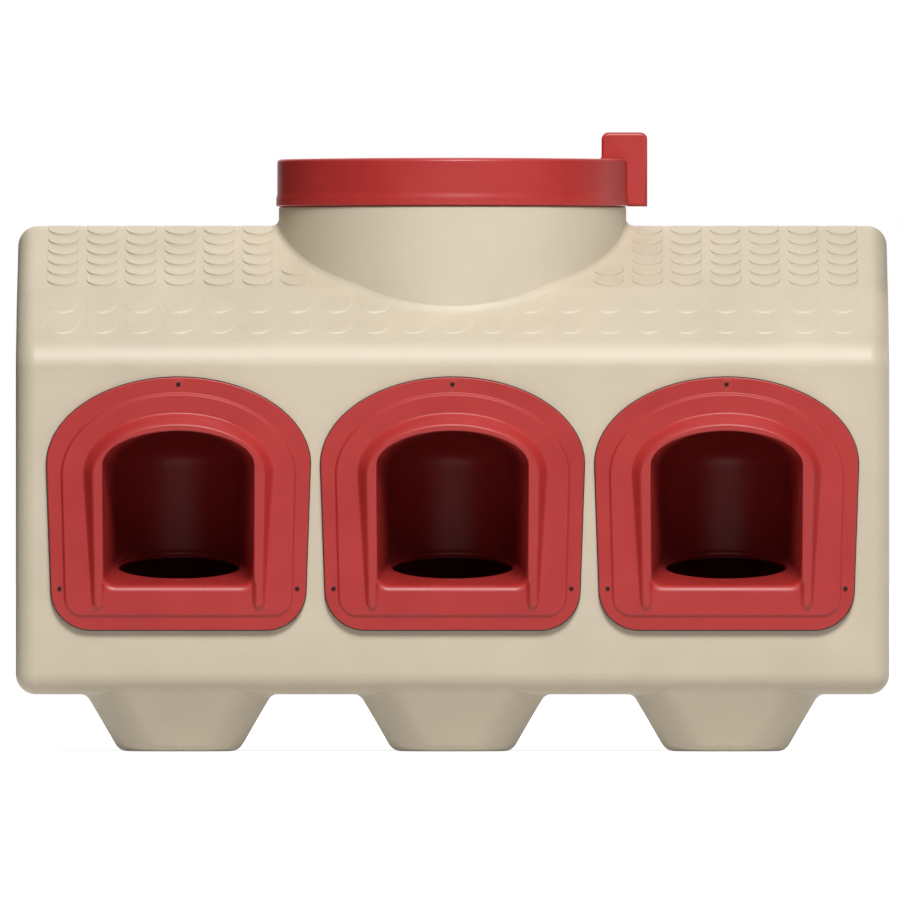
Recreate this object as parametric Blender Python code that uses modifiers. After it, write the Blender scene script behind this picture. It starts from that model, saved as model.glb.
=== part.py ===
# A three-port poultry feeder: a barn-shaped moulded tank on three hollow feet, a round filler neck
# with a press-on lid, and three red feeding ports fastened to the front wall.
#
# Frame: metres, +X along the length, -Y is the front with the ports, +Z up.
# The origin is on the ground, under the middle of the tank.

import math

import bmesh
import bpy
from mathutils import Matrix, Vector

mm = 0.001
deg = math.pi / 180

# Tank: a gambrel-roofed box, moulded with an even wall
tank_length = 610 * mm
tank_depth = 316 * mm
tank_wall = 4.5 * mm
eave_height = 280 * mm
crease_height = 324 * mm
lower_roof_angle = 38 * deg
upper_roof_angle = 25.5 * deg
sill_radius = 15.5 * mm
eave_radius = 25 * mm
crease_radius = 14 * mm
ridge_radius = 36 * mm
gable_radius = 14 * mm

# Feet: hollow wells under the ports, which hold the feed that the birds reach
foot_height = 40 * mm
foot_half_width = 41.7 * mm
foot_half_depth = 130 * mm
foot_side_draft = 30 * deg
foot_end_draft = 28 * deg
foot_corner_radius = 30 * mm
foot_edge_radius = 9 * mm
foot_reach_into_tank = 10 * mm

# Filler neck and the spigot that the lid fits over
neck_radius = 122 * mm
neck_top = 381.5 * mm
spigot_step = 4.5 * mm
spigot_height = 27.5 * mm
spigot_rim_radius = 1.5 * mm
neck_root = 300 * mm

# Lid
lid_wall = 5 * mm
lid_side_clearance = 0.6 * mm
seat_gap = 0.3 * mm
seal_thickness = 2 * mm
lid_plate = 3.2 * mm
lid_edge_radius = 2.5 * mm
lid_crown = 1 * mm
bead_height = 12 * mm
bead_proud = 0.8 * mm
lug_inner = 104.7 * mm
lug_outer = 136.8 * mm
lug_thickness = 20 * mm
lug_above_lid = 19 * mm
lug_radius = 4.8 * mm

# Ports: spacing, and the arched outlines on the front wall, as heights above the ground
port_pitch = 191.3 * mm
port_names = ("left", "centre", "right")
flange_half_width = 92 * mm
flange_spring = 201 * mm
flange_top = 261.5 * mm
flange_bottom = 85 * mm
flange_corner = 25 * mm
flange_lean = 2 * deg
flange_thickness = 3 * mm
flange_edge = 0.8 * mm

gasket_thickness = 1.2 * mm
gasket_width = 11 * mm
gasket_proud = 0.6 * mm

rim_side = 10.5 * mm
rim_top = 11.6 * mm
rim_bottom = 10 * mm
plateau_spring = 193 * mm
plateau_corner = 12.7 * mm
plateau_lean = 1.5 * deg
plateau_rise = 1.8 * mm
plateau_slope = 0.8 * mm

opening_half_width = 52 * mm
opening_spring = 199.5 * mm
opening_top = 224 * mm
opening_corner = 8 * mm
lip_height = 116 * mm
floor_tilt = 13 * deg

# Hood: a raised arch round the opening, which fades into two legs
hood_half_width = 60.7 * mm
hood_spring = 193.2 * mm
hood_top = 229 * mm
hood_tip = 100 * mm
hood_leg_inner = 53.2 * mm
hood_leg_outer = 59.2 * mm
hood_proud_top = 13 * mm
hood_proud_tip = 2.6 * mm
hood_edge = 0.9 * mm
cove_share = 0.62

# Pocket behind the opening, and the drop tube under it
port_wall = 3 * mm
pocket_radius = 44 * mm
pocket_ceiling = 227 * mm
pocket_setback = 62 * mm
tube_radius = 42 * mm
tube_bottom = 38 * mm

# Screws
screw_radius = 0.9 * mm
screw_head_radius = 1.5 * mm
screw_head_height = 0.9 * mm
screw_length = 12 * mm
screw_hole_gap = 0.25 * mm
screw_inset_top = 4.8 * mm
screw_inset_side = 6 * mm
screw_height = 114 * mm

# How finely round shapes are cut into flats
turn_steps = 56
tube_steps = 32
arch_steps = 22
corner_steps = 4
screw_steps = 8

# Sizes that follow from the ones above
wall_y = -tank_depth / 2
spigot_radius = neck_radius - spigot_step
spigot_top = neck_top + spigot_height
seal_bottom = spigot_top + seat_gap
seal_top = seal_bottom + seal_thickness
lid_inner_radius = spigot_radius + lid_side_clearance
lid_radius = lid_inner_radius + lid_wall
lid_bottom = neck_top + seat_gap
lid_ceiling = seal_top + seat_gap
lid_top = lid_ceiling + lid_plate
gasket_back = seat_gap
gasket_front = gasket_back + gasket_thickness
flange_back = gasket_front + seat_gap
flange_front = flange_back + flange_thickness
plateau_front = flange_front + plateau_rise
hood_rise = hood_top - hood_spring


def clear_scene():
    for old in list(bpy.data.objects):
        bpy.data.objects.remove(old)


def new_collection(name):
    group = bpy.data.collections.new(name)
    bpy.context.scene.collection.children.link(group)
    return group


def plastic(name, colour, roughness):
    made = bpy.data.materials.new(name)
    made.use_nodes = True
    shader = made.node_tree.nodes["Principled BSDF"]
    shader.inputs["Base Color"].default_value = (*colour, 1)
    shader.inputs["Roughness"].default_value = roughness
    shader.inputs["Metallic"].default_value = 0
    made.diffuse_color = (*colour, 1)
    return made


clear_scene()
feeder = new_collection("poultry_feeder")
cutters = new_collection("cutters")

tan_polyethylene = plastic("tan_polyethylene", (0.62, 0.55, 0.44), 0.5)
red_polypropylene = plastic("red_polypropylene", (0.48, 0.05, 0.045), 0.4)
black_rubber = plastic("black_rubber", (0.02, 0.02, 0.02), 0.8)
dark_steel = plastic("dark_steel", (0.05, 0.045, 0.045), 0.45)
dark_steel.node_tree.nodes["Principled BSDF"].inputs["Metallic"].default_value = 1


def mesh_from(bm, name):
    mesh = bpy.data.meshes.new(name)
    bm.to_mesh(mesh)
    bm.free()
    return mesh


def add_part(name, mesh, finish, location=(0, 0, 0), parent=None):
    part = bpy.data.objects.new(name, mesh)
    part.location = location
    part.parent = parent
    if finish.name not in mesh.materials:
        mesh.materials.append(finish)
    feeder.objects.link(part)
    mesh.shade_smooth()
    mesh.set_sharp_from_angle(angle=35 * deg)
    return part


def add_tool(name, mesh):
    # A solid that only cuts or joins another
    tool = bpy.data.objects.new(name, mesh)
    tool.hide_render = True
    tool.display_type = "WIRE"
    cutters.objects.link(tool)
    return tool


def combine(part, tool, operation):
    step = part.modifiers.new(f"{operation.lower()} {tool.name}", "BOOLEAN")
    step.operation = operation
    step.solver = "EXACT"
    step.object = tool


def evaluated_mesh(part, name):
    # The shape that the modifiers of an object make, as a mesh of its own
    bpy.context.view_layer.update()
    graph = bpy.context.evaluated_depsgraph_get()
    mesh = bpy.data.meshes.new_from_object(part.evaluated_get(graph))
    mesh.name = name
    return mesh


def loft(rings, name):
    # A closed skin through rings that have the same number of points, flat at both ends
    bm = bmesh.new()
    loops = [[bm.verts.new(point) for point in ring] for ring in rings]
    count = len(rings[0])
    for near, far in zip(loops, loops[1:]):
        for i in range(count):
            j = (i + 1) % count
            bm.faces.new((near[i], near[j], far[j], far[i]))
    bm.faces.new(loops[0])
    bm.faces.new(loops[-1])
    bmesh.ops.recalc_face_normals(bm, faces=bm.faces)
    return mesh_from(bm, name)


def turned(name, profile, steps, finish=None, parent=None):
    # Profile points are (radius, height) and run down the outer side, top to bottom
    bm = bmesh.new()
    points = [bm.verts.new((radius, 0, height)) for radius, height in profile]
    for upper, lower in zip(points, points[1:]):
        bm.edges.new((upper, lower))
    mesh = mesh_from(bm, name)
    part = add_part(name, mesh, finish, parent=parent) if finish else add_tool(name, mesh)
    spin = part.modifiers.new("turn", "SCREW")
    spin.angle = 2 * math.pi
    spin.steps = steps
    spin.render_steps = steps
    spin.use_merge_vertices = True
    spin.merge_threshold = 0.00001
    return part


def cylinder(name, radius, low, high, steps, centre=(0, 0)):
    bm = bmesh.new()
    bmesh.ops.create_cone(
        bm, cap_ends=True, segments=steps, radius1=radius, radius2=radius, depth=high - low
    )
    bmesh.ops.translate(bm, verts=bm.verts, vec=(*centre, (low + high) / 2))
    return mesh_from(bm, name)


# Tank

def gable_corners(inset):
    # Sharp corners of half the gable outline, from the sill up to the ridge, as (y, z) with y
    # counted outwards from the middle. Each side of the outline moves in by inset.
    side = tank_depth / 2 - inset
    floor = foot_height + inset
    lower_drop = inset / math.cos(lower_roof_angle)
    upper_drop = inset / math.cos(upper_roof_angle)
    lower_rise = math.tan(lower_roof_angle)
    upper_rise = math.tan(upper_roof_angle)
    crease_y = tank_depth / 2 - (crease_height - eave_height) / lower_rise

    def lower_roof(y):
        return crease_height - lower_drop + (crease_y - y) * lower_rise

    def upper_roof(y):
        return crease_height - upper_drop + (crease_y - y) * upper_rise

    inner_crease = crease_y - (lower_drop - upper_drop) / (lower_rise - upper_rise)
    return [
        (side, floor),
        (side, lower_roof(side)),
        (inner_crease, upper_roof(inner_crease)),
        (0, upper_roof(0)),
    ]


def tank_block(inset):
    # The tank's body, shrunk by inset on every side: nothing for the outside, the wall for the hollow
    half = gable_corners(inset)
    outline = half + [(-y, z) for y, z in reversed(half[:-1])]
    end = tank_length / 2 - inset
    bm = bmesh.new()
    face = bm.faces.new([bm.verts.new((-end, y, z)) for y, z in outline])
    grown = bmesh.ops.extrude_face_region(bm, geom=[face])["geom"]
    moved = [item for item in grown if isinstance(item, bmesh.types.BMVert)]
    bmesh.ops.translate(bm, verts=moved, vec=(2 * end, 0, 0))
    bmesh.ops.recalc_face_normals(bm, faces=bm.faces)

    def long_edges(corners):
        heights = [z for _, z in corners]
        return [
            edge
            for edge in bm.edges
            if abs(edge.verts[0].co.x - edge.verts[1].co.x) > end
            and min(abs(edge.verts[0].co.z - z) for z in heights) < 0.1 * mm
        ]

    def round_off(edges, tangent, steps):
        bmesh.ops.bevel(
            bm,
            geom=edges,
            offset=tangent,
            offset_type="OFFSET",
            segments=steps,
            profile=0.5,
            affect="EDGES",
            material=-1,
        )

    # A fillet's tangent length is its radius times the tangent of half the turn between the faces
    eave_turn = (90 * deg - lower_roof_angle) / 2
    crease_turn = (lower_roof_angle - upper_roof_angle) / 2
    sill, eave, crease, ridge = [[corner] for corner in half]
    round_off(long_edges(sill), sill_radius - inset, 4)
    round_off(long_edges(eave), (eave_radius - inset) * math.tan(eave_turn), 4)
    round_off(long_edges(crease), (crease_radius - inset) * math.tan(crease_turn), 2)
    round_off(long_edges(ridge), (ridge_radius - inset) * math.tan(upper_roof_angle), 4)
    ends = [
        edge
        for edge in bm.edges
        if abs(abs(edge.verts[0].co.x) - end) < 0.1 * mm
        and abs(edge.verts[0].co.x - edge.verts[1].co.x) < 0.1 * mm
    ]
    round_off(ends, gable_radius - inset, 4)
    return mesh_from(bm, "tank_block")


def foot_block(inset, x):
    # A foot, shrunk by inset. Its sides lean out as they rise, so a shrunk side moves in along
    # the level by the inset over the cosine of its lean.
    low = inset
    high = foot_height + foot_reach_into_tank
    side_rise = math.tan(foot_side_draft)
    end_rise = math.tan(foot_end_draft)
    bm = bmesh.new()
    bmesh.ops.create_cube(bm, size=2)
    for vert in bm.verts:
        z = high if vert.co.z > 0 else low
        half_width = foot_half_width + z * side_rise - inset / math.cos(foot_side_draft)
        half_depth = foot_half_depth + z * end_rise - inset / math.cos(foot_end_draft)
        vert.co = (x + vert.co.x * half_width, vert.co.y * half_depth, z)
    uprights = [edge for edge in bm.edges if abs(edge.verts[0].co.z - edge.verts[1].co.z) > low]
    bmesh.ops.bevel(
        bm,
        geom=uprights,
        offset=foot_corner_radius - inset,
        offset_type="OFFSET",
        segments=4,
        profile=0.5,
        affect="EDGES",
        material=-1,
    )
    rim = [edge for edge in bm.edges if max(vert.co.z for vert in edge.verts) < low + 0.1 * mm]
    bmesh.ops.bevel(
        bm,
        geom=rim,
        offset=foot_edge_radius - inset,
        offset_type="OFFSET",
        segments=2,
        profile=0.5,
        affect="EDGES",
        material=-1,
    )
    return mesh_from(bm, "foot_block")


def half_ellipse(half_width, spring, top):
    # The upper half of an ellipse as (x, z) points, from right to left
    angles = [i * math.pi / arch_steps for i in range(arch_steps + 1)]
    return [
        (half_width * math.cos(angle), spring + (top - spring) * math.sin(angle))
        for angle in angles
    ]


def arch_loop(half_width, spring, top, bottom, corner, lean=0.0, grow=0.0):
    # An arched outline as (x, z) points: a straight sill with round corners, sides that lean in
    # towards the sill, and half an ellipse from the spring line up. grow moves it all outwards.
    reach = half_width + grow
    sill = bottom - grow
    radius = corner + grow
    narrow = reach - (spring - sill - radius) * math.tan(lean)
    turns = [i * 90 * deg / corner_steps for i in range(corner_steps + 1)]
    right = [
        (narrow - radius + radius * math.sin(turn), sill + radius - radius * math.cos(turn))
        for turn in turns
    ]
    left = [(-x, z) for x, z in reversed(right)]
    return right + half_ellipse(reach, spring, top + grow) + left


def at_depth(outline, y):
    # Puts an outline on the plane y, or where a function of its height says
    return [Vector((x, y(z) if callable(y) else y, z)) for x, z in outline]


def flange_loop(grow=0.0):
    return arch_loop(
        flange_half_width, flange_spring, flange_top, flange_bottom, flange_corner, flange_lean, grow
    )


def plateau_loop(grow=0.0):
    return arch_loop(
        flange_half_width - rim_side,
        plateau_spring,
        flange_top - rim_top,
        flange_bottom + rim_bottom,
        plateau_corner,
        plateau_lean,
        grow,
    )


def screw_places():
    # Screw centres on a flange, as (x, z): one at the top and one low on each side
    low_x = flange_half_width - (flange_spring - screw_height) * math.tan(flange_lean)
    low_x -= screw_inset_side
    return {
        "top": (0, flange_top - screw_inset_top),
        "low_left": (-low_x, screw_height),
        "low_right": (low_x, screw_height),
    }


def port_x(index):
    return (index - 1) * port_pitch


def screw_drill(name, x, z, radius):
    # A cutter along Y, long enough for the flange, the gasket and the tank's wall
    reach = plateau_front + 2 * tank_wall
    bm = bmesh.new()
    bmesh.ops.create_cone(
        bm, cap_ends=True, segments=screw_steps, radius1=radius, radius2=radius, depth=2 * reach
    )
    bmesh.ops.rotate(bm, verts=bm.verts, matrix=Matrix.Rotation(90 * deg, 3, "X"))
    bmesh.ops.translate(bm, verts=bm.verts, vec=(x, 0, z))
    return add_tool(name, mesh_from(bm, name))


def build_tank():
    tank = add_part("tank", tank_block(0), tan_polyethylene)
    neck = turned(
        "neck_outside",
        [
            (0, spigot_top),
            (spigot_radius - spigot_rim_radius, spigot_top),
            (spigot_radius, spigot_top - spigot_rim_radius),
            (spigot_radius, neck_top),
            (neck_radius, neck_top),
            (neck_radius, neck_root),
            (0, neck_root),
        ],
        turn_steps,
    )
    bore = turned(
        "neck_inside",
        [
            (0, spigot_top + tank_wall),
            (spigot_radius - tank_wall, spigot_top + tank_wall),
            (spigot_radius - tank_wall, neck_top - tank_wall),
            (neck_radius - tank_wall, neck_top - tank_wall - spigot_step),
            (neck_radius - tank_wall, neck_root - tank_wall),
            (0, neck_root - tank_wall),
        ],
        turn_steps,
    )
    for index, side in enumerate(port_names):
        foot = add_tool(f"foot_outside_{side}", foot_block(0, port_x(index)))
        combine(tank, foot, "UNION")
    combine(tank, neck, "UNION")
    combine(tank, add_tool("hollow", tank_block(tank_wall)), "DIFFERENCE")
    combine(tank, bore, "DIFFERENCE")
    window = flange_loop(-gasket_width - gasket_proud)
    for index, side in enumerate(port_names):
        well = add_tool(f"foot_inside_{side}", foot_block(tank_wall, port_x(index)))
        combine(tank, well, "DIFFERENCE")
        rings = [at_depth(window, -3 * tank_wall), at_depth(window, 3 * tank_wall)]
        hole = add_tool(f"wall_hole_{side}", loft(rings, "wall_hole"))
        hole.location = (port_x(index), wall_y, 0)
        combine(tank, hole, "DIFFERENCE")
        for place, (x, z) in screw_places().items():
            drill = screw_drill(f"wall_drill_{side}_{place}", x, z, screw_radius + screw_hole_gap)
            drill.location = (port_x(index), wall_y, 0)
            combine(tank, drill, "DIFFERENCE")
    return tank


# Ports

def port_floor(y):
    # Height of the pocket's floor, which rises towards the back from the lip
    return lip_height + (y + plateau_front) * math.tan(floor_tilt)


def passage(grow, front):
    # The way in from the front to the middle of the tube. It narrows to the pocket's round back.
    def section(y):
        share = (y + plateau_front) / (pocket_setback + plateau_front)
        half = opening_half_width + share * (pocket_radius - opening_half_width)
        return at_depth(
            arch_loop(
                half, opening_spring, opening_top, port_floor(y), opening_corner, 0.0, grow
            ),
            y,
        )

    return loft([section(front), section(pocket_setback)], "passage")


def pocket(grow):
    # The upright round back of the pocket, cut along the tilted floor at its foot
    radius = pocket_radius + grow
    mesh = cylinder("pocket", radius, 0, 1, tube_steps, (0, pocket_setback))
    for vert in mesh.vertices:
        is_top = vert.co.z > 0.5
        vert.co.z = pocket_ceiling + grow if is_top else port_floor(vert.co.y) - grow
    return mesh


def hood_proud(z):
    # How far the hood stands off the plateau at a height: most at its top, least at its tips
    along = (z - hood_tip) / (hood_top - hood_tip)
    return hood_proud_tip + along * (hood_proud_top - hood_proud_tip)


def hood_loop(flare, share):
    # One ring round the hood, an arch on two legs with round tips. It lies at a share of the
    # hood's own height there, and flares out by a share of the cove, which is as deep as the
    # hood is proud.
    def spread(z):
        return flare * cove_share * hood_proud(z)

    outer = [
        (x * (1 + spread(z) / hood_half_width), z + spread(z) * (z - hood_spring) / hood_rise)
        for x, z in half_ellipse(hood_half_width, hood_spring, hood_top)
    ]
    inner = half_ellipse(
        opening_half_width - hood_edge, opening_spring, opening_top - hood_edge
    )
    leg_middle = (hood_leg_inner + hood_leg_outer) / 2
    leg_half = (hood_leg_outer - hood_leg_inner) / 2
    radius = leg_half + spread(hood_tip)
    turns = [i * math.pi / (2 * corner_steps) for i in range(2 * corner_steps + 1)]
    left_tip = [
        (-leg_middle - radius * math.cos(turn), hood_tip + leg_half - radius * math.sin(turn))
        for turn in turns
    ]
    right_tip = [(-x, z) for x, z in reversed(left_tip)]
    outline = outer + left_tip + inner[::-1] + right_tip
    return at_depth(outline, lambda z: -plateau_front - share * hood_proud(min(z, hood_top)))


def drop_tube(radius, low, above_floor):
    # A tube under the pocket, whose top is cut along the tilted floor
    mesh = cylinder("drop_tube", radius, 0, 1, tube_steps, (0, pocket_setback))
    for vert in mesh.vertices:
        vert.co.z = port_floor(vert.co.y) + above_floor if vert.co.z > 0.5 else low
    return mesh


def build_port_mesh():
    plate_rings = [
        at_depth(flange_loop(), -flange_back),
        at_depth(flange_loop(), -flange_front + flange_edge),
        at_depth(flange_loop(-flange_edge), -flange_front),
        at_depth(plateau_loop(plateau_slope), -flange_front),
        at_depth(plateau_loop(0), -plateau_front + flange_edge),
        at_depth(plateau_loop(-plateau_slope), -plateau_front),
    ]
    port = add_tool("port_blank", loft(plate_rings, "port_blank"))
    hood_rings = [
        hood_loop(1.0, -0.3),
        hood_loop(1.0, 0.0),
        hood_loop(0.42, 0.22),
        hood_loop(0.12, 0.55),
        hood_loop(0.0, 0.9),
        hood_loop(-0.12, 1.0),
    ]
    combine(port, add_tool("hood", loft(hood_rings, "hood")), "UNION")
    join_front = -flange_front
    cut_front = -plateau_front - 2 * hood_proud_top
    combine(port, add_tool("passage_outside", passage(port_wall, join_front)), "UNION")
    combine(port, add_tool("pocket_outside", pocket(port_wall)), "UNION")
    tube = drop_tube(tube_radius + port_wall, tube_bottom, -port_wall / 3)
    combine(port, add_tool("tube_outside", tube), "UNION")
    combine(port, add_tool("passage_inside", passage(0, cut_front)), "DIFFERENCE")
    combine(port, add_tool("pocket_inside", pocket(0)), "DIFFERENCE")
    bore = drop_tube(tube_radius, tube_bottom - port_wall, port_wall)
    combine(port, add_tool("tube_inside", bore), "DIFFERENCE")
    for place, (x, z) in screw_places().items():
        drill = screw_drill(f"port_drill_{place}", x, z, screw_radius + screw_hole_gap)
        combine(port, drill, "DIFFERENCE")
    return evaluated_mesh(port, "port")


def build_gasket_mesh():
    outer = flange_loop(gasket_proud)
    inner = flange_loop(-gasket_width)
    rings = [at_depth(outer, -gasket_front), at_depth(outer, -gasket_back)]
    blank = add_tool("gasket_blank", loft(rings, "gasket_blank"))
    reach = 2 * flange_front
    window = loft([at_depth(inner, -reach), at_depth(inner, reach)], "gasket_window")
    combine(blank, add_tool("gasket_window", window), "DIFFERENCE")
    for place, (x, z) in screw_places().items():
        drill = screw_drill(f"gasket_drill_{place}", x, z, screw_radius + screw_hole_gap)
        combine(blank, drill, "DIFFERENCE")
    return evaluated_mesh(blank, "gasket")


def build_screw_mesh():
    # Turned about Z with the head up, then laid down so that the head faces the front
    profile = [
        (0, screw_head_height),
        (screw_head_radius * 0.6, screw_head_height),
        (screw_head_radius, screw_head_height * 0.4),
        (screw_head_radius, 0),
        (screw_radius, 0),
        (screw_radius, -screw_length + 2 * screw_radius),
        (0, -screw_length),
    ]
    blank = turned("screw_blank", profile, screw_steps)
    mesh = evaluated_mesh(blank, "screw")
    mesh.transform(Matrix.Rotation(90 * deg, 4, "X"))
    return mesh


def build_ports():
    port_mesh = build_port_mesh()
    gasket_mesh = build_gasket_mesh()
    screw_mesh = build_screw_mesh()
    for index, side in enumerate(port_names):
        mount = bpy.data.objects.new(f"port_mount_{side}", None)
        mount.location = (port_x(index), wall_y, 0)
        feeder.objects.link(mount)
        add_part(f"port_{side}", port_mesh, red_polypropylene, parent=mount)
        add_part(f"port_gasket_{side}", gasket_mesh, black_rubber, parent=mount)
        head_seat = -flange_front - seat_gap
        for place, (x, z) in screw_places().items():
            add_part(
                f"port_screw_{side}_{place}", screw_mesh, dark_steel, (x, head_seat, z), mount
            )


# Lid

def build_lid():
    # Everything of the lid hangs from an empty on the axis that it lifts along and turns about
    axis = bpy.data.objects.new("lid_axis", None)
    axis.location = (0, 0, lid_bottom)
    feeder.objects.link(axis)

    def up(height):
        return height - lid_bottom

    edge = lid_edge_radius
    shoulder = [
        (lid_radius - edge + edge * math.sin(turn), up(lid_top) - edge + edge * math.cos(turn))
        for turn in (0, 30 * deg, 60 * deg, 90 * deg)
    ]
    bead = [
        (lid_radius, bead_height),
        (lid_radius + bead_proud, bead_height * 0.7),
        (lid_radius + bead_proud, bead_height * 0.25),
        (lid_radius, 0),
    ]
    profile = [(0, up(lid_top) + lid_crown), (lid_radius * 0.6, up(lid_top) + lid_crown * 0.6)]
    profile += shoulder + bead
    profile += [(lid_inner_radius, 0), (lid_inner_radius, up(lid_ceiling)), (0, up(lid_ceiling))]
    lid = turned("lid", profile, turn_steps, red_polypropylene, parent=axis)

    bm = bmesh.new()
    bmesh.ops.create_cube(bm, size=1)
    length = lug_outer - lug_inner
    height = up(lid_top) + lug_above_lid
    bmesh.ops.scale(bm, verts=bm.verts, vec=(length, lug_thickness, height))
    middle = (lug_inner + lug_outer) / 2
    bmesh.ops.translate(bm, verts=bm.verts, vec=(middle, 0, height / 2))
    across = [
        edge
        for edge in bm.edges
        if min(vert.co.z for vert in edge.verts) > height / 2
        and abs(edge.verts[0].co.y - edge.verts[1].co.y) > lug_thickness / 2
    ]
    bmesh.ops.bevel(
        bm,
        geom=across,
        offset=lug_radius,
        offset_type="OFFSET",
        segments=4,
        profile=0.5,
        affect="EDGES",
        material=-1,
    )
    lug = add_tool("lug", mesh_from(bm, "lug"))
    lug.parent = axis
    combine(lid, lug, "UNION")
    core = turned(
        "lid_core",
        [
            (0, up(lid_ceiling)),
            (lid_inner_radius, up(lid_ceiling)),
            (lid_inner_radius, -lid_wall),
            (0, -lid_wall),
        ],
        turn_steps,
    )
    core.parent = axis
    combine(lid, core, "DIFFERENCE")

    outer = spigot_radius
    inner = spigot_radius - tank_wall
    turned(
        "lid_seal",
        [
            (inner, up(seal_top)),
            (outer, up(seal_top)),
            (outer, up(seal_bottom)),
            (inner, up(seal_bottom)),
            (inner, up(seal_top)),
        ],
        turn_steps,
        black_rubber,
        parent=axis,
    )
    return lid


build_tank()
build_ports()
build_lid()
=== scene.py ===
import math

import bmesh
import bpy
from mathutils import Matrix, Vector


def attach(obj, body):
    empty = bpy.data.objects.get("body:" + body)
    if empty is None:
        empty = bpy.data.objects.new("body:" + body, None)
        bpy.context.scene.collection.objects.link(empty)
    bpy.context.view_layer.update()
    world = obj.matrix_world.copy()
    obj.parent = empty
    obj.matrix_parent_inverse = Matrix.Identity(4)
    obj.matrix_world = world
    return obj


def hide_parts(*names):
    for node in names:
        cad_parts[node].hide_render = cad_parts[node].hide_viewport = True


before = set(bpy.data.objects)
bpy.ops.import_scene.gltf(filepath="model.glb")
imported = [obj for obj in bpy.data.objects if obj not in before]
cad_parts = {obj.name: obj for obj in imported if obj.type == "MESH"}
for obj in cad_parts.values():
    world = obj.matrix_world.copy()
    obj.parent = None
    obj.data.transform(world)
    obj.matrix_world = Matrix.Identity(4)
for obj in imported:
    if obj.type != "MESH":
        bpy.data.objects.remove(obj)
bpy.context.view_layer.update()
print("frame loaded with", len(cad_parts), "nodes")

# Every piece is drawn in millimetres and turned to metres when it is added
mm = 0.001
# The turn in degrees from which an edge is shaded sharp
sharpAngle = 32
# Millimetres within which corners are welded, and the slack in picking edges
weldLimit = 0.001
slack = 0.1
scene = bpy.context.scene


# Helpers for meshes

def plainMesh(bm, name):
    mesh = bpy.data.meshes.new(name)
    bm.to_mesh(mesh)
    bm.free()
    return mesh


def toMesh(bm, name):
    bmesh.ops.remove_doubles(bm, verts=bm.verts, dist=weldLimit)
    bmesh.ops.recalc_face_normals(bm, faces=bm.faces)
    return plainMesh(bm, name)


def addObject(name, data):
    thing = bpy.data.objects.new(name, data)
    scene.collection.objects.link(thing)
    return thing


def addPiece(name, mesh, material, body, nodes):
    mesh.transform(Matrix.Scale(mm, 4))
    mesh.materials.clear()
    mesh.materials.append(material)
    mesh.shade_smooth()
    mesh.set_sharp_from_angle(angle=math.radians(sharpAngle))
    piece = addObject(name, mesh)
    evenShade = piece.modifiers.new("even shading", "WEIGHTED_NORMAL")
    evenShade.keep_sharp = True
    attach(piece, body)
    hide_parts(*nodes)


def combine(mesh, steps):
    # Joins or cuts a mesh with each tool in turn; steps are (operation, tool mesh) pairs
    made = [addObject("blank", mesh)]
    for operation, tool in steps:
        made.append(addObject("tool", tool))
        step = made[0].modifiers.new(operation, "BOOLEAN")
        step.operation = operation
        step.solver = "EXACT"
        step.object = made[-1]
    bpy.context.view_layer.update()
    graph = bpy.context.evaluated_depsgraph_get()
    result = bpy.data.meshes.new_from_object(made[0].evaluated_get(graph))
    for used in made:
        bpy.data.objects.remove(used)
    return result


def joined(meshes, name):
    # One mesh of several that don't touch
    bm = bmesh.new()
    for mesh in meshes:
        bm.from_mesh(mesh)
    return plainMesh(bm, name)


def moved(mesh, x, y=0.0, z=0.0):
    copy = mesh.copy()
    copy.transform(Matrix.Translation((x, y, z)))
    return copy


def loft(rings, name, ends="flat"):
    # Extrudes the first ring of points through the others; the ends are flat, open or joined
    bm = bmesh.new()
    loop = [bm.verts.new(point) for point in rings[0]]
    first = [bm.edges.new((loop[i - 1], loop[i])) for i in range(len(loop))]
    edges = first
    if ends == "flat":
        bm.faces.new(loop)
    for ring in rings[1:]:
        grown = bmesh.ops.extrude_edge_only(bm, edges=edges)["geom"]
        fresh = {item for item in grown if isinstance(item, bmesh.types.BMVert)}
        follows = {}
        for vert in fresh:
            for edge in vert.link_edges:
                other = edge.other_vert(vert)
                if other not in fresh:
                    follows[other] = vert
        loop = [follows[vert] for vert in loop]
        for vert, point in zip(loop, ring):
            vert.co = point
        edges = [bm.edges.get((loop[i - 1], loop[i])) for i in range(len(loop))]
    if ends == "flat":
        bm.faces.new(loop)
    if ends == "joined":
        bmesh.ops.bridge_loops(bm, edges=first + edges)
    return toMesh(bm, name)


def turned(profile, steps, name):
    # Spins a profile of (radius, height) points about the Z axis
    bm = bmesh.new()
    points = [bm.verts.new((radius, 0, height)) for radius, height in profile]
    edges = [bm.edges.new(pair) for pair in zip(points, points[1:])]
    bmesh.ops.spin(
        bm,
        geom=points + edges,
        cent=(0, 0, 0),
        axis=(0, 0, 1),
        angle=2 * math.pi,
        steps=steps,
        use_merge=True,
        use_duplicate=False,
    )
    return toMesh(bm, name)


def rod(radius, low, high, steps, name):
    # An upright rod from one height to another
    bm = bmesh.new()
    bmesh.ops.create_cone(
        bm, cap_ends=True, segments=steps, radius1=radius, radius2=radius, depth=high - low
    )
    bmesh.ops.translate(bm, verts=bm.verts, vec=(0, 0, (low + high) / 2))
    return toMesh(bm, name)


def box(size, centre, turn=0):
    # An upright box, turned about its own Z axis by degrees
    bm = bmesh.new()
    bmesh.ops.create_cube(bm, size=1)
    bmesh.ops.scale(bm, verts=bm.verts, vec=size)
    spin = Matrix.Rotation(math.radians(turn), 3, "Z")
    bmesh.ops.rotate(bm, verts=bm.verts, matrix=spin)
    bmesh.ops.translate(bm, verts=bm.verts, vec=centre)
    return bm


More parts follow.
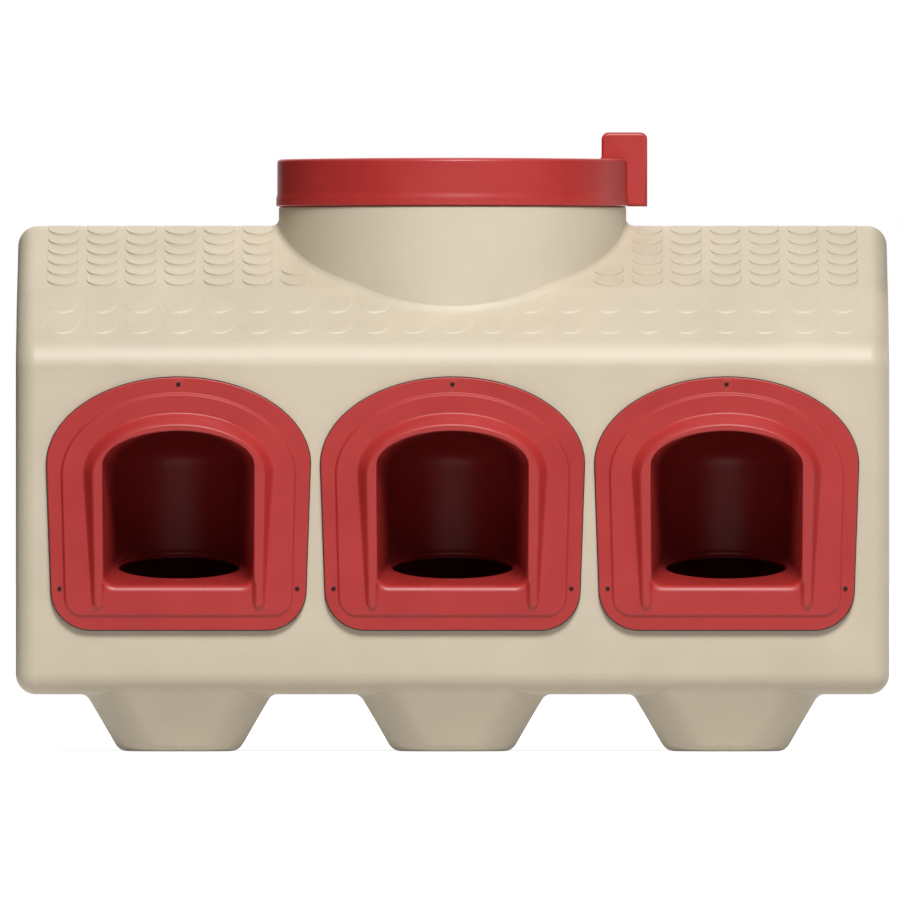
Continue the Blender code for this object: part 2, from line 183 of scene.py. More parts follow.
def prism(outline, shift):
    # Extrudes a flat outline
    bm = bmesh.new()
    face = bm.faces.new([bm.verts.new(point) for point in outline])
    grown = bmesh.ops.extrude_face_region(bm, geom=[face])["geom"]
    far = [item for item in grown if isinstance(item, bmesh.types.BMVert)]
    bmesh.ops.translate(bm, verts=far, vec=shift)
    bmesh.ops.recalc_face_normals(bm, faces=bm.faces)
    return bm


def pickEdges(bm, fits):
    # The edges whose two ends fit
    return [edge for edge in bm.edges if fits(*(vert.co for vert in edge.verts))]


def roundOff(bm, edges, offset, segments):
    bmesh.ops.bevel(
        bm,
        geom=edges,
        offset=offset,
        offset_type="OFFSET",
        segments=segments,
        profile=0.5,
        affect="EDGES",
        material=-1,
    )


def arc(radius, start, end, steps, centre=(0.0, 0.0)):
    # Points on an arc, with angles in degrees
    turns = [math.radians(start + (end - start) * i / steps) for i in range(steps + 1)]
    x, y = centre
    return [(x + radius * math.cos(turn), y + radius * math.sin(turn)) for turn in turns]


def mix(a, b, share):
    return a + (b - a) * share


def tangent(angle):
    return math.tan(math.radians(angle))


def ease(share):
    # From 0 to 1 with a soft start and end
    share = min(max(share, 0.0), 1.0)
    return share * share * (3 - 2 * share)


# Helpers for materials

def toLinear(hexColour):
    # From an sRGB colour such as #c9bda6, by the sRGB curve
    levels = [int(hexColour[i:i + 2], 16) / 255 for i in (1, 3, 5)]
    flat = [v / 12.92 if v <= 0.04045 else ((v + 0.055) / 1.055) ** 2.4 for v in levels]
    return (*flat, 1.0)


def addNode(tree, kind, settings=None, links=None):
    node = tree.nodes.new(kind)
    for name, value in (settings or {}).items():
        if isinstance(name, str) and hasattr(node, name):
            setattr(node, name, value)
        else:
            node.inputs[name].default_value = value
    for name, source in (links or {}).items():
        tree.links.new(source, node.inputs[name])
    return node


def emptyTree(owner):
    owner.use_nodes = True
    owner.node_tree.nodes.clear()
    return owner.node_tree


def noise(tree, place, size, detail, roughness=0.5):
    # Spots of about this size in millimetres
    settings = {"Scale": 1 / (size * mm), "Detail": detail, "Roughness": roughness}
    return addNode(tree, "ShaderNodeTexNoise", settings, {"Vector": place}).outputs["Fac"]


def mapped(tree, value, fromSpan, toSpan, settings=None):
    # A value moved from one span to another, and held at its ends
    names = ("From Min", "From Max", "To Min", "To Max")
    spans = {**dict(zip(names, (*fromSpan, *toSpan))), **(settings or {})}
    return addNode(tree, "ShaderNodeMapRange", spans, {"Value": value}).outputs[0]


def worked(tree, kind, settings, terms, output=0):
    # A node whose terms are numbers, sRGB hex colours or other nodes' outputs
    links = {}
    for place, term in terms.items():
        if isinstance(term, bpy.types.NodeSocket):
            links[place] = term
        else:
            settings[place] = toLinear(term) if isinstance(term, str) else term
    return addNode(tree, kind, settings, links).outputs[output]


def sums(tree, operation, *terms):
    chosen = {"operation": operation}
    return worked(tree, "ShaderNodeMath", chosen, dict(enumerate(terms)))


def colourMix(tree, share, under, over):
    terms = {0: share, 6: under, 7: over}
    return worked(tree, "ShaderNodeMix", {"data_type": "RGBA"}, terms, 2)


def floatMix(tree, share, under, over):
    terms = {0: share, 2: under, 3: over}
    return worked(tree, "ShaderNodeMix", {"data_type": "FLOAT"}, terms)


def vectorMath(tree, operation, terms, output=0):
    return worked(tree, "ShaderNodeVectorMath", {"operation": operation}, terms, output)


def relief(tree, height, depth, under=None):
    # A bump of this depth in millimetres, over another one where there is one
    links = {"Height": height}
    if under:
        links["Normal"] = under
    settings = {"Strength": 1.0, "Distance": depth * mm}
    return addNode(tree, "ShaderNodeBump", settings, links).outputs["Normal"]


def surface(tree, terms, kind="ShaderNodeBsdfPrincipled", output="ShaderNodeOutputMaterial"):
    addNode(tree, output, {}, {"Surface": worked(tree, kind, {}, terms)})


# Values of the noise, and of Pointiness, between which colour or gloss changes
patchSpan = (0.3, 0.7)
speckSpan = (0.58, 0.75)
paleEdgeSpan = (0.515, 0.6)


def mouldedPlastic(name, look, shadeOf=None):
    # A moulded skin: cloudy colour from uneven pigment, a satin sheen that varies, and a fine
    # orange-peel relief over long, shallow waves; shadeOf, where given, paints shade by keeping a
    # share of colour and gloss
    made = bpy.data.materials.new(name)
    tree = emptyTree(made)
    place = addNode(tree, "ShaderNodeTexCoord").outputs["Object"]
    clouds = noise(tree, place, look["cloudSize"], detail=3.0, roughness=0.55)
    specks = noise(tree, place, look["speckSize"], detail=2.0, roughness=0.6)
    cloudShare = mapped(tree, clouds, patchSpan, (0.0, 1.0))
    body = colourMix(tree, cloudShare, look["dark"], look["light"])
    speckShare = mapped(tree, specks, speckSpan, (0.0, look["speckShare"]))
    speckled = colourMix(tree, speckShare, body, look["speck"])
    # Convex edges, where Pointiness is high, are a little paler
    pointed = addNode(tree, "ShaderNodeNewGeometry").outputs["Pointiness"]
    paleEdge = mapped(tree, pointed, paleEdgeSpan, (0.0, look["edgeShare"]))
    coloured = colourMix(tree, paleEdge, speckled, look["edge"])
    sheen = mapped(tree, clouds, patchSpan, look["roughness"])
    long = noise(tree, place, look["waveSize"], detail=1.0, roughness=0.4)
    fine = noise(tree, place, look["peelSize"], detail=2.0)
    waves = relief(tree, long, look["waveDepth"])
    peel = relief(tree, fine, look["peelDepth"], waves)
    gloss = look["gloss"]
    # Painted shade: colour and gloss are scaled down by the share that shadeOf gives
    if shadeOf:
        shade = shadeOf(tree, place)
        gloss = sums(tree, "MULTIPLY", shade, gloss)
        coloured = vectorMath(tree, "SCALE", {0: coloured, "Scale": shade})
    terms = {"Base Color": coloured, "Roughness": sheen, "Normal": peel, "IOR": look["ior"]}
    surface(tree, {**terms, "Specular IOR Level": gloss})
    return made


# Rotomoulded polyethylene: powder melted in a turning mould, which leaves a satin skin with soft
# edges, a faint orange peel and slightly cloudy colour
tankPlastic = mouldedPlastic(
    "rotomouldedPolyethylene",
    {
        "dark": "#c9bda6",
        "light": "#d3c6ae",
        "speck": "#b9ab92",
        "speckShare": 0.25,
        "speckSize": 2.5,
        "edge": "#ddd2bd",
        "edgeShare": 0.35,
        "cloudSize": 70,
        "roughness": (0.44, 0.52),
        "waveSize": 55,
        "waveDepth": 0.25,
        "peelSize": 2.2,
        "peelDepth": 0.02,
        "ior": 1.51,
        "gloss": 0.5,
    },
)

# Injection-moulded polypropylene: a tighter, smoother skin than the tank's, in a full red
redLook = {
    "dark": "#ae2f2d",
    "light": "#b63431",
    "speck": "#9c2a29",
    "speckShare": 0.2,
    "speckSize": 1.6,
    "edge": "#c24b47",
    "edgeShare": 0.4,
    "cloudSize": 45,
    "roughness": (0.36, 0.43),
    "waveSize": 35,
    "waveDepth": 0.06,
    "peelSize": 1.4,
    "peelDepth": 0.01,
    "ior": 1.49,
    "gloss": 0.5,
}
lidPlastic = mouldedPlastic("injectionMouldedPolypropylene", redLook)

# Black nitrile rubber, die-cut from sheet: matt, with a fine fabric-like grain from the press
rubber = mouldedPlastic(
    "nitrileRubberSheet",
    {
        "dark": "#1c1b1a",
        "light": "#262523",
        "speck": "#35332f",
        "speckShare": 0.3,
        "speckSize": 0.8,
        "edge": "#3a3835",
        "edgeShare": 0.3,
        "cloudSize": 20,
        "roughness": (0.7, 0.8),
        "waveSize": 15,
        "waveDepth": 0.02,
        "peelSize": 0.6,
        "peelDepth": 0.01,
        "ior": 1.52,
        "gloss": 0.4,
    },
)

steelLook = {
    "dark": "#1f1b1a",
    "light": "#3a3331",
    "patchSize": 0.9,
    "roughness": (0.38, 0.55),
    "metallic": 0.8,
}


def blackenedSteel():
    # Carbon steel screws with a black oxide finish: dark, with a low metal glint and dry patches
    made = bpy.data.materials.new("blackOxideSteel")
    tree = emptyTree(made)
    place = addNode(tree, "ShaderNodeTexCoord").outputs["Object"]
    patches = noise(tree, place, steelLook["patchSize"], detail=3.0)
    colour = colourMix(tree, patches, steelLook["dark"], steelLook["light"])
    finish = mapped(tree, patches, patchSpan, steelLook["roughness"])
    metallic = steelLook["metallic"]
    surface(tree, {"Base Color": colour, "Roughness": finish, "Metallic": metallic})
    return made


screwSteel = blackenedSteel()
print("materials ready")


# Tank: a gambrel-roofed box on three hollow feet, with a filler neck, in one moulding

tank = {
    "length": 610,
    "depth": 316,
    "wall": 4.5,
    "floor": 40,
    "eave": 280,
    "crease": 324,
    "lowerSlope": 38,
    "upperSlope": 25.5,
    "sillRadius": 15.5,
    "eaveRadius": 25,
    "creaseRadius": 14,
    "ridgeRadius": 36,
    "gableRadius": 14,
    "portPitch": 191.3,
    "edgeSteps": 10,
    "insideSteps": 4,
}
foot = {
    "halfWidth": 41.7,
    "halfDepth": 130.25,
    "sideDraft": 30,
    "endDraft": 28,
    "cornerRadius": 30,
    "edgeRadius": 10,
    "topFillet": 8.4,
    "top": 48.2,
    # How far the fillet's rim sinks into the tank's underside
    "sink": 0.15,
    "roundSteps": 6,
    "cornerSteps": 10,
    # The inside's round bottom, as (height above the wall, how far it is drawn in), and its top
    "insideRings": [(0, 3), (1.2, 1), (4, 0)],
    "insideSteps": 6,
    "insideTop": 52,
}
neck = {
    "radius": 122,
    "top": 381.5,
    "step": 4.5,
    "spigotHeight": 27.5,
    "rimRadius": 1.5,
    "stepChamfer": 0.6,
    "stepRadius": 1.2,
    # The rim's inner edge, as (growth of the bore, drop from the top)
    "boreEdge": [(1.5, 0), (0.4, 0.6), (0, 1.6)],
    "cutterReach": 2.5,
    "root": 300,
    "filletRadius": 5,
    # How far the fillet's two edges sink into the neck and the roof, and its hidden part's size
    "filletSink": 0.15,
    "filletDrop": 0.12,
    "skirtReach": 0.5,
    "skirtEdge": 0.6,
    "skirtBack": 3,
    "skirtDepth": 2.5,
    "filletSteps": 8,
    "steps": 160,
}
scale = {
    "pitch": 27.3,
    "columns": 21,
    "halfWidth": 10.6,
    "length": 19.5,
    # Length over which a scale sinks into the roof, and the points of its round end
    "fade": 18.5,
    "roundSteps": 12,
    "highProud": 1.5,
    "lowProud": 0.75,
    # The edges, as (growth of the outline, share of the full height, lift); the low scales' are soft
    "highSection": [
        (0.35, 0.0, -0.5), (0.3, 0.05, 0.0), (0.1, 0.75, 0.0), (-0.15, 0.95, 0.0), (-0.7, 1.0, 0.0),
    ],
    "lowSection": [
        (1.3, 0.0, -0.5), (1.1, 0.05, -0.03), (0.55, 0.35, 0.0), (-0.1, 0.85, 0.0), (-0.8, 1.0, 0.0),
    ],
    "upperRows": [325.4 + 7.2 * i for i in range(6)],
    "lowerRows": [292.4, 306.9],
    "neckClearance": 129,
}

tankHalf = tank["depth"] / 2
lowerRise = tangent(tank["lowerSlope"])
upperRise = tangent(tank["upperSlope"])
creaseDepth = tankHalf - (tank["crease"] - tank["eave"]) / lowerRise
portPlaces = {"Left": -tank["portPitch"], "Centre": 0.0, "Right": tank["portPitch"]}


def gableCorners(inset):
    # Sharp corners of half the gable outline, as (distance from the middle, height)
    side = tankHalf - inset
    lowerDrop = inset * math.sqrt(1 + lowerRise**2)
    upperDrop = inset * math.sqrt(1 + upperRise**2)
    turnDepth = creaseDepth - (lowerDrop - upperDrop) / (lowerRise - upperRise)

    def onRoof(y, drop, rise):
        return (y, tank["crease"] - drop + (creaseDepth - y) * rise)

    return [
        (side, tank["floor"] + inset),
        onRoof(side, lowerDrop, lowerRise),
        onRoof(turnDepth, upperDrop, upperRise),
        onRoof(0, upperDrop, upperRise),
    ]


def roofHeight(y):
    # Height of the roof's outer surface over a distance from the middle, ridge and all
    y = abs(y)
    slope = math.radians(tank["upperSlope"])
    radius = tank["ridgeRadius"]
    peak = tank["crease"] + creaseDepth * upperRise
    if y < radius * math.sin(slope):
        return peak - radius / math.cos(slope) + math.sqrt(radius**2 - y**2)
    return min(peak - y * upperRise, tank["eave"] + (tankHalf - y) * lowerRise)


def tankBlock(inset, steps):
    half = gableCorners(inset)
    end = tank["length"] / 2 - inset
    outline = half + [(-y, z) for y, z in reversed(half[:-1])]
    bm = prism([(-end, y, z) for y, z in outline], (2 * end, 0, 0))
    # Each long edge, as (name, tangent of half its turn, share of the steps)
    eaveTurn = math.tan(math.radians(90 - tank["lowerSlope"]) / 2)
    creaseTurn = math.tan(math.radians(tank["lowerSlope"] - tank["upperSlope"]) / 2)
    turns = [("sill", 1, 1), ("eave", eaveTurn, 1), ("crease", creaseTurn, 2), ("ridge", upperRise, 1)]
    for (name, turn, share), corner in zip(turns, half):
        long = pickEdges(bm, lambda a, b: abs(a.x - b.x) > end and abs(a.z - corner[1]) < slack)
        roundOff(bm, long, (tank[f"{name}Radius"] - inset) * turn, steps // share)
    gables = pickEdges(bm, lambda a, b: abs(abs(a.x) - end) < slack and abs(a.x - b.x) < slack)
    roundOff(bm, gables, tank["gableRadius"] - inset, steps)
    return toMesh(bm, "tankBlock")


def footRing(halfWidth, halfDepth, corner, z, steps):
    ring = []
    for signX, signY, start in ((1, 1, 0), (-1, 1, 90), (-1, -1, 180), (1, -1, 270)):
        centre = (signX * (halfWidth - corner), signY * (halfDepth - corner))
        ring += [(x, y, z) for x, y in arc(corner, start, start + 90, steps, centre)]
    return ring


def footOutside():
    # Rings from the underside up: the bottom edge, the drafted sides, then a fillet that spreads
    # each side out into the tank's underside
    side, end = math.radians(foot["sideDraft"]), math.radians(foot["endDraft"])
    width, depth, edge = foot["halfWidth"], foot["halfDepth"], foot["edgeRadius"]
    bend = math.pi / 2 - side
    flatWidth = width - edge * math.tan(bend / 2)
    flatDepth = depth - edge * math.tan((math.pi / 2 - end) / 2)
    rings = []
    count, around = foot["roundSteps"], foot["cornerSteps"]
    for i in range(count + 1):
        turn = bend * i / count
        z = edge * (1 - math.cos(turn))
        reach = edge * math.sin(turn)
        shrink = width + z * math.tan(side) - flatWidth - reach
        corner = foot["cornerRadius"] - shrink
        rings.append(footRing(flatWidth + reach, flatDepth + reach, corner, z, around))
    fillet = foot["topFillet"]
    spread = fillet * math.tan(bend / 2)
    top = tank["floor"] + foot["sink"]
    wide = width + top * math.tan(side) + spread
    for i in range(count + 1):
        turn = bend * (1 - i / count)
        z = top - fillet * (1 - math.cos(turn))
        halfWidth = wide - fillet * math.sin(turn)
        flare = halfWidth - width - z * math.tan(side)
        halfDepth = depth + z * math.tan(end)
        corner = foot["cornerRadius"] + flare
        rings.append(footRing(halfWidth, halfDepth, corner, z, around))
    z = foot["top"]
    corner = foot["cornerRadius"] + spread
    rings.append(footRing(wide, depth + z * math.tan(end), corner, z, around))
    return loft(rings, "footOutside")


def footInside():
    side, end = math.radians(foot["sideDraft"]), math.radians(foot["endDraft"])
    wall = tank["wall"]

    def ring(z, pull):
        width = foot["halfWidth"] + z * math.tan(side) - wall / math.cos(side) - pull
        depth = foot["halfDepth"] + z * math.tan(end) - wall / math.cos(end) - pull
        return footRing(width, depth, foot["cornerRadius"] - wall, z, foot["insideSteps"])

    rings = [ring(wall + rise, pull) for rise, pull in foot["insideRings"]]
    return loft(rings + [ring(foot["insideTop"], 0)], "footInside")


def neckFillet():
    # A skirt of rings round the neck's foot, hollow side out, that rests on the sloping roof
    radius, fillet = neck["radius"], neck["filletRadius"]
    sink, drop = neck["filletSink"], neck["filletDrop"]
    back, depth = radius - neck["skirtBack"], neck["skirtDepth"]
    far = radius + fillet + neck["skirtReach"]
    steps = neck["steps"]
    section = [(far, -neck["skirtEdge"])]
    for i in range(neck["filletSteps"] + 1):
        turn = math.radians(90) * i / neck["filletSteps"]
        reach = radius - sink + fillet * (1 - math.sin(turn))
        section.append((reach, -drop + fillet * (1 - math.cos(turn))))
    section += [(back, fillet - drop), (back, -depth), (far, -depth)]
    rings = []
    for reach, lift in section:
        ring = []
        for i in range(steps):
            turn = 2 * math.pi * i / steps
            x, y = reach * math.cos(turn), reach * math.sin(turn)
            ring.append((x, y, roofHeight(y) + lift))
        rings.append(ring)
    return loft(rings, "neckFillet", ends="joined")


def roofScale(proud, section):
    # One scale of the roof in relief: a round lower end that stands off the roof, and straight
    # sides that sink away under the scale above.
    # Local Y runs up the slope and Z out of the roof.
    half, length, fade = (scale[key] for key in ("halfWidth", "length", "fade"))

    def ring(grow, share, sink):
        outline = arc(half + grow, 180, 360, scale["roundSteps"], (0, half))
        outline += [(half + grow, length), (-half - grow, length)]
        return [(x, y, share * proud * (1 - max(y, 0) / fade) + sink) for x, y in outline]

    return loft([ring(*step) for step in section], "roofScale")


def roofScales():
    tiles = []
    rows = [(z, "low") for z in scale["lowerRows"]] + [(z, "high") for z in scale["upperRows"]]
    for height, kind in rows:
        if kind == "high":
            slope = math.radians(tank["upperSlope"])
            start = creaseDepth - (height - tank["crease"]) / upperRise
        else:
            slope = math.radians(tank["lowerSlope"])
            start = tankHalf - (height - tank["eave"]) / lowerRise
        flat = roofScale(scale[f"{kind}Proud"], scale[f"{kind}Section"])
        # Laid on the roof, so that the top row bends over the ridge
        for front in (1, -1):
            laid = flat.copy()
            for vert in laid.vertices:
                along, lift = vert.co.y, vert.co.z
                y = start - along * math.cos(slope)
                vert.co.x *= front
                vert.co.y = -front * (y + lift * math.sin(slope))
                vert.co.z = roofHeight(y) + lift * math.cos(slope)
            for i in range(scale["columns"]):
                x = (i - (scale["columns"] - 1) / 2) * scale["pitch"]
                if math.hypot(x, start) > scale["neckClearance"]:
                    tiles.append(moved(laid, x))
    print("roof scales:", len(tiles))
    return joined(tiles, "roofScales")


def neckOutside():
    radius, ledge, root = (neck[key] for key in ("radius", "top", "root"))
    rim, chamfer, edge = (neck[key] for key in ("rimRadius", "stepChamfer", "stepRadius"))
    top = ledge + neck["spigotHeight"]
    spigot = radius - neck["step"]
    profile = [(0, top), (spigot - 2 * rim, top)]
    profile += arc(rim, 90, 0, 4, (spigot - rim, top - rim))
    profile += [(spigot, ledge + chamfer), (spigot + chamfer, ledge)]
    profile += arc(edge, 90, 0, 4, (radius - edge, ledge - edge))
    profile += [(radius, root), (0, root)]
    return turned(profile, neck["steps"], "neckOutside")


def neckInside():
    ledge, step, wall = neck["top"], neck["step"], tank["wall"]
    top = ledge + neck["spigotHeight"]
    bore, wide = neck["radius"] - step - wall, neck["radius"] - wall
    root = neck["root"] - wall
    profile = [(0, top + wall), (bore + neck["cutterReach"], top + wall)]
    profile += [(bore + grow, top - drop) for grow, drop in neck["boreEdge"]]
    profile += [(bore, ledge - wall), (wide, ledge - wall - step), (wide, root), (0, root)]
    return turned(profile, neck["steps"], "neckInside")


# Ports: each is one moulding of flange, raised hood, pocket and drop tube. Outlines are on the
# front wall, as x from the port's middle and height above the ground; y is 0 at the wall.

port = {
    "flange": {"half": 92, "spring": 201, "top": 261.5, "bottom": 85, "corner": 28, "lean": 2.0},
    "plateau": {"half": 81.5, "spring": 193, "top": 249.9, "bottom": 95, "corner": 12.7, "lean": 1.5},
    "cove": {"half": 66.9, "spring": 193.2, "top": 237, "bottom": 97.6, "corner": 11, "lean": 3.2},
    "rib": {"half": 60.7, "spring": 193.2, "top": 229, "bottom": 100.4, "corner": 9, "lean": 0.9},
    "opening": {"half": 52, "spring": 199.5, "top": 224, "bottom": 116, "corner": 8, "lean": 0.0},
    "leastCorner": 0.3,
    "gap": 0.3,
    "gasketThickness": 1.2,
    "gasketWidth": 11,
    "gasketProud": 0.6,
    "flangeThickness": 3,
    "flangeEdge": 0.8,
    "plateauRise": 1.8,
    "plateauSlope": 1.1,
    "hoodTop": 229,
    "hoodTip": 100,
    "legInner": 53.2,
    "legOuter": 59.2,
    # Above this height the legs' inner edges draw in to the opening, over this rise and reach
    "drawHeight": 116,
    "drawRise": 14,
    "drawReach": 4,
    "proudTop": 13,
    "proudTip": 2.6,
    "coveShare": 0.62,
    "crestRadius": 1.5,
    "edgeRoll": 1.3,
    "lipRoll": 4.5,
    "floorTilt": 10.7,
    "backCorner": 5,
    "wall": 3,
    "pocketRadius": 44,
    "pocketSetback": 62,
    # Depths of the rings along the passage, inside and on its outer skin
    "throatDepth": 14.0,
    "insideDepths": (30.0, 46.0),
    "outsideDepths": (15.0, 38.0),
    "tubeRadius": 42,
    "tubeBottom": 38,
    # The round rim of the tube, as (growth of its bore, height from the tilted floor)
    "tubeFlare": [(0, -1.4), (0.2, -0.7), (0.6, -0.2), (1.2, 0.15), (1.2, 6.0)],
    "tubeOverlap": 1.0,
    "tubeSteps": 96,
    "cutterReach": 5,
    "windowReach": 14,
    "edgeSteps": 3,
    "slopeSteps": 6,
    "hoodSteps": (3, 12, 12),
    "rollSteps": 5,
    "throatSteps": 3,
    "backSteps": 14,
    "backSkinSteps": 12,
    "cornerSteps": 12,
    "sideSteps": 16,
    "archSteps": 64,
    "sillSteps": 24,
}
screw = {
    "drillRadius": 1.15,
    "drillSpan": (-12, 14),
    "drillSteps": 16,
    "insetTop": 4.8,
    "insetSide": 6,
    "height": 114,
    "radius": 0.9,
    "headRadius": 1.5,
    "headHeight": 0.9,
    "length": 12,
    "recess": 0.32,
    "recessReach": 0.85,
    "recessDepth": 0.5,
    # The dome's height is a share of the head's; the thread starts below the head
    "domeAngles": (0, 20, 40, 60, 75, 90),
    "domeShare": 0.65,
    "threadStart": 0.8,
    "threadPitch": 0.62,
    "threadTurns": 14,
    "threadRoot": 0.78,
    "tipShare": 0.6,
    "tipLength": 1.6,
    "steps": 20,
}
gasketBack = port["gap"]
gasketFront = gasketBack + port["gasketThickness"]
flangeBack = gasketFront + port["gap"]
flangeFront = flangeBack + port["flangeThickness"]
plateauFront = flangeFront + port["plateauRise"]


def archLoop(shape, grow=0.0):
    # An arched outline: round lower corners, sides that lean in downwards, and half an ellipse
    reach = shape["half"] + grow
    sill = shape["bottom"] - grow
    radius = max(shape["corner"] + grow, port["leastCorner"])
    narrow = reach - (shape["spring"] - sill - radius) * tangent(shape["lean"])
    corner = arc(radius, -90, 0, port["cornerSteps"], (narrow - radius, sill + radius))
    count = port["sideSteps"]
    side = [
        (mix(narrow, reach, i / count), mix(sill + radius, shape["spring"], i / count))
        for i in range(1, count)
    ]
    rise = shape["top"] + grow - shape["spring"]
    bow = arc(1, 0, 180, port["archSteps"])
    arch = [(reach * x, shape["spring"] + rise * z) for x, z in bow]
    right = corner + side
    count = port["sillSteps"]
    base = [(mix(radius - narrow, narrow - radius, i / count), sill) for i in range(1, count)]
    return right + arch + [(-x, z) for x, z in right[::-1]] + base


def hoodHeight(x, z):
    # How far the hood stands off the plateau at a place on the front
    side = abs(x)
    tip, top, rib = port["hoodTip"], port["hoodTop"], port["rib"]
    up = min(max((z - tip) / (top - tip), 0), 1)
    proud = mix(port["proudTip"], port["proudTop"], up)
    cove = port["coveShare"] * proud
    reach = cove + port["crestRadius"]
    inner, outer = port["legInner"], port["legOuter"]
    legHalf = (outer - inner) / 2
    tipCentre = tip + legHalf
    if z >= rib["spring"]:
        wide, rise, up = rib["half"], rib["top"] - rib["spring"], z - rib["spring"]
        scaled = math.hypot(side / wide, up / rise)
        slope = math.hypot(side / wide**2, up / rise**2)
        outside = scaled * (scaled - 1) / slope
        inside = -math.inf
    elif z >= tipCentre:
        share = (z - tipCentre) / (rib["spring"] - tipCentre)
        outside = side - mix(outer, rib["half"], share)
        drawn = ease((z - port["drawHeight"]) / port["drawRise"])
        inside = inner - port["drawReach"] * drawn - side
    else:
        outside = math.hypot(side - (inner + outer) / 2, z - tipCentre) - legHalf
        inside = -math.inf
    return proud * (ease((cove - outside) / reach) * ease((cove - inside) / reach))


def floorHeight(y):
    # The pocket's floor rises towards the back from the lip
    return port["opening"]["bottom"] + (y + plateauFront) * tangent(port["floorTilt"])


def passageLoop(y, grow=0.0):
    # The passage narrows from the opening to the pocket's round back
    share = (y + plateauFront) / (port["pocketSetback"] + plateauFront)
    shape = dict(port["opening"])
    shape["half"] = mix(shape["half"], port["pocketRadius"], share)
    shape["corner"] = mix(shape["corner"], port["backCorner"], share)
    shape["bottom"] = floorHeight(y)
    return archLoop(shape, grow)


def passagePoints(depths, grows):
    # A ring in the passage whose points each have their own depth and growth
    ring = []
    for i, (y, grow) in enumerate(zip(depths, grows)):
        x, z = passageLoop(y, grow)[i]
        ring.append((x, y, z))
    return ring


def roundBack(grow, steps):
    # Rings that turn the end of the passage about an upright axis, so that its sides, its ceiling
    # and the round corners of its floor close in a pocket
    middle = port["pocketSetback"]
    start = passageLoop(middle, grow)
    floor = floorHeight(middle) - grow
    spring = port["opening"]["spring"]
    rings = []
    for i in range(1, steps + 1):
        turn = math.radians(90) * i / steps
        ring = []
        for x, z in start:
            y = middle + abs(x) * math.sin(turn)
            lift = floorHeight(y) - floorHeight(middle)
            low = min(max((spring - z) / (spring - floor), 0), 1)
            ring.append((x * math.cos(turn), y, z + lift * low))
        rings.append(ring)
    return rings


def portSkin():
    # One closed skin, from the back of the pocket out to the hood and the flange's edge, then
    # round behind and back along the outside of the pocket
    flange, plateau = port["flange"], port["plateau"]
    front = []

    def add(shape, depth, grow=0.0):
        front.append([(x, -depth, z) for x, z in archLoop(shape, grow)])

    add(flange, flangeBack)
    edge, count = port["flangeEdge"], port["edgeSteps"]
    for i in range(count + 1):
        turn = math.radians(90) * i / count
        add(flange, flangeFront - edge * (1 - math.sin(turn)), -edge * (1 - math.cos(turn)))
    slope, count = port["plateauSlope"], port["slopeSteps"]
    for i in range(count + 1):
        share = i / count
        add(plateau, mix(flangeFront, plateauFront, ease(share)), slope * (1 - 2 * share))
    inset = dict(plateau)
    for key in ("half", "top", "corner"):
        inset[key] -= slope
    inset["bottom"] += slope
    edgeRoll, lipRoll = port["edgeRoll"], port["lipRoll"]
    roll = dict(port["opening"])
    roll["half"] += edgeRoll
    roll["top"] += edgeRoll
    roll["bottom"] -= lipRoll
    outlines = [inset, port["cove"], port["rib"], roll]
    for start, end, count in zip(outlines, outlines[1:], port["hoodSteps"]):
        for i in range(1, count + 1):
            shape = {key: mix(start[key], end[key], i / count) for key in start}
            ring = [(x, -plateauFront - hoodHeight(x, z), z) for x, z in archLoop(shape)]
            front.append(ring)

    # The edge rolls into the passage, more at the lip than at the sides and the top
    last = front[-1]
    corner = port["opening"]["corner"]
    limit = port["opening"]["bottom"] + corner
    rolls = []
    for x, y, z in last:
        share = ease((limit - z) / (corner + lipRoll))
        rolls.append(mix(edgeRoll, lipRoll, share))
    count = port["rollSteps"]
    for i in range(1, count + 1):
        turn = math.radians(90) * i / count
        depths = [y + r * (1 - math.cos(turn)) for (x, y, z), r in zip(last, rolls)]
        grows = [r * (1 - math.sin(turn)) for r in rolls]
        front.append(passagePoints(depths, grows))
    mouth = [y for x, y, z in front[-1]]
    count = port["throatSteps"]
    for i in range(1, count + 1):
        depths = [mix(y, port["throatDepth"], i / count) for y in mouth]
        front.append(passagePoints(depths, [0.0] * len(mouth)))
    for y in (*port["insideDepths"], port["pocketSetback"]):
        front.append([(x, y, z) for x, z in passageLoop(y)])
    front += roundBack(0, port["backSteps"])

    wall = port["wall"]
    behind = []
    for y in (-flangeBack, *port["outsideDepths"], port["pocketSetback"]):
        behind.append([(x, y, z) for x, z in passageLoop(y, wall)])
    behind += roundBack(wall, port["backSkinSteps"])
    return loft(front[::-1] + behind, "portSkin", ends="open")


def tiltedRod(sections, steps, name):
    # A rod about the drop tube's axis; each section is a radius with a height, counted from the
    # tilted floor where it says so
    rings = []
    for radius, height, fromFloor in sections:
        ring = []
        for x, y in arc(radius, 0, 360, steps, (0, port["pocketSetback"]))[:-1]:
            ring.append((x, y, floorHeight(y) + height if fromFloor else height))
        rings.append(ring)
    return loft(rings, name)


def screwPlaces():
    flange = port["flange"]
    high = screw["height"]
    edge = flange["half"] - (flange["spring"] - high) * tangent(flange["lean"])
    side = edge - screw["insetSide"]
    top = flange["top"] - screw["insetTop"]
    return {"Top": (0, top), "LowLeft": (-side, high), "LowRight": (side, high)}


def screwDrills(x=0.0, y=0.0):
    # Steps that drill a port's screw holes
    low, high = screw["drillSpan"]
    drill = rod(screw["drillRadius"], low, high, screw["drillSteps"], "drill")
    drill.transform(Matrix.Rotation(math.radians(90), 4, "X"))
    return [("DIFFERENCE", moved(drill, x + px, y, z)) for px, z in screwPlaces().values()]


